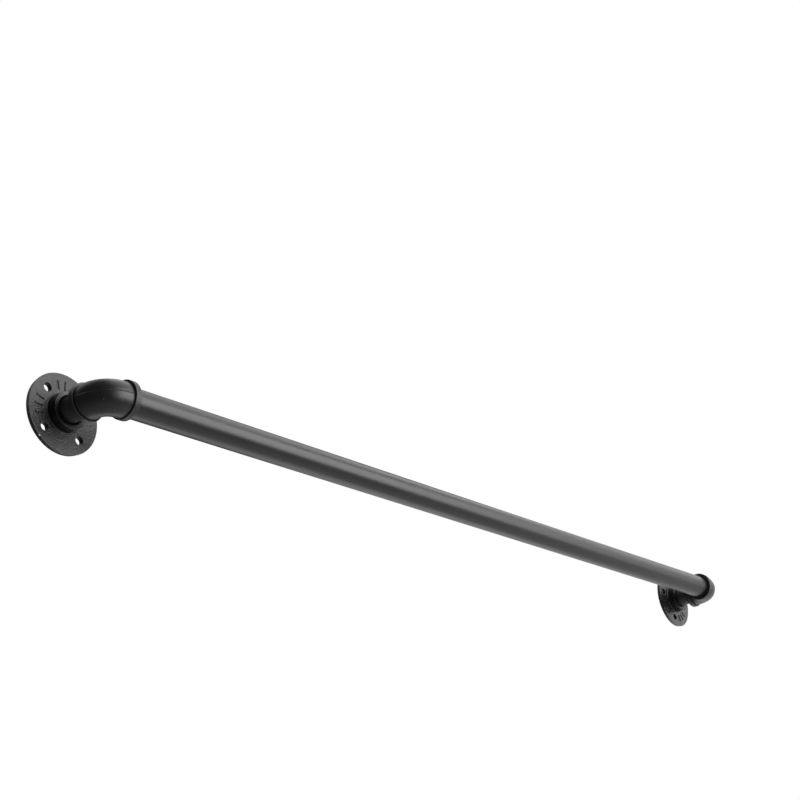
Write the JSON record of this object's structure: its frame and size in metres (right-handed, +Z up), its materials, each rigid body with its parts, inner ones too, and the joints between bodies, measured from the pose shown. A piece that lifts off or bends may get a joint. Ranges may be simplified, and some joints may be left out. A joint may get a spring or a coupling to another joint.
{
  "type": "curtain rod with brackets",
  "caption": "Straight round curtain rod in pipe-fitting style, an elbow, short nipple and round wall flange with screw holes at each end, all satin black.",
  "frame": {"origin": "centre of the left flange's back face, on the wall plane", "axes": "+X along the rod to the right flange, +Y into the wall, +Z up; the rod's axis is 51.9 mm out from the wall, at Y = -0.0519, Z = 0"},
  "size_m": [1.0644, 0.0684, 0.0698],
  "materials": {
    "tube_coat": "satin black powder coat",
    "plug_steel": "zinc-plated, turned",
    "elbow_coat": "satin black coat over a smooth casting",
    "nipple_coat": "satin black coat",
    "flange_coat": "matt black coat over a sand casting"
  },
  "bodies": {
    "rod": {"rod_tube": "tube_coat", "left_end_plug": "plug_steel", "right_end_plug": "plug_steel"},
    "left_elbow_body": {"left_elbow": "elbow_coat"},
    "left_nipple_body": {"left_nipple": "nipple_coat"},
    "left_flange_body": {"left_flange": "flange_coat"},
    "right_elbow_body": {"right_elbow": "elbow_coat"},
    "right_nipple_body": {"right_nipple": "nipple_coat"},
    "right_flange_body": {"right_flange": "flange_coat"}
  },
  "joints": [
    {"name": "left_elbow_thread", "type": "hinge", "parent": "rod", "child": "left_elbow_body", "pos_m": [0.0223, -0.0519, 0], "axis": [1, 0, 0], "range_deg": [-180, 180]},
    {"name": "left_nipple_thread", "type": "hinge", "parent": "left_elbow_body", "child": "left_nipple_body", "pos_m": [0, -0.0275, 0], "axis": [0, 1, 0], "range_deg": [-180, 180]},
    {"name": "left_flange_thread", "type": "hinge", "parent": "left_nipple_body", "child": "left_flange_body", "pos_m": [0, -0.0132, 0], "axis": [0, 1, 0], "range_deg": [-180, 180]},
    {"name": "right_elbow_thread", "type": "hinge", "parent": "rod", "child": "right_elbow_body", "pos_m": [0.9723, -0.0519, 0], "axis": [1, 0, 0], "range_deg": [-180, 180]},
    {"name": "right_nipple_thread", "type": "hinge", "parent": "right_elbow_body", "child": "right_nipple_body", "pos_m": [0.9946, -0.0275, 0], "axis": [0, 1, 0], "range_deg": [-180, 180]},
    {"name": "right_flange_thread", "type": "hinge", "parent": "right_nipple_body", "child": "right_flange_body", "pos_m": [0.9946, -0.0132, 0], "axis": [0, 1, 0], "range_deg": [-180, 180]}
  ]
}
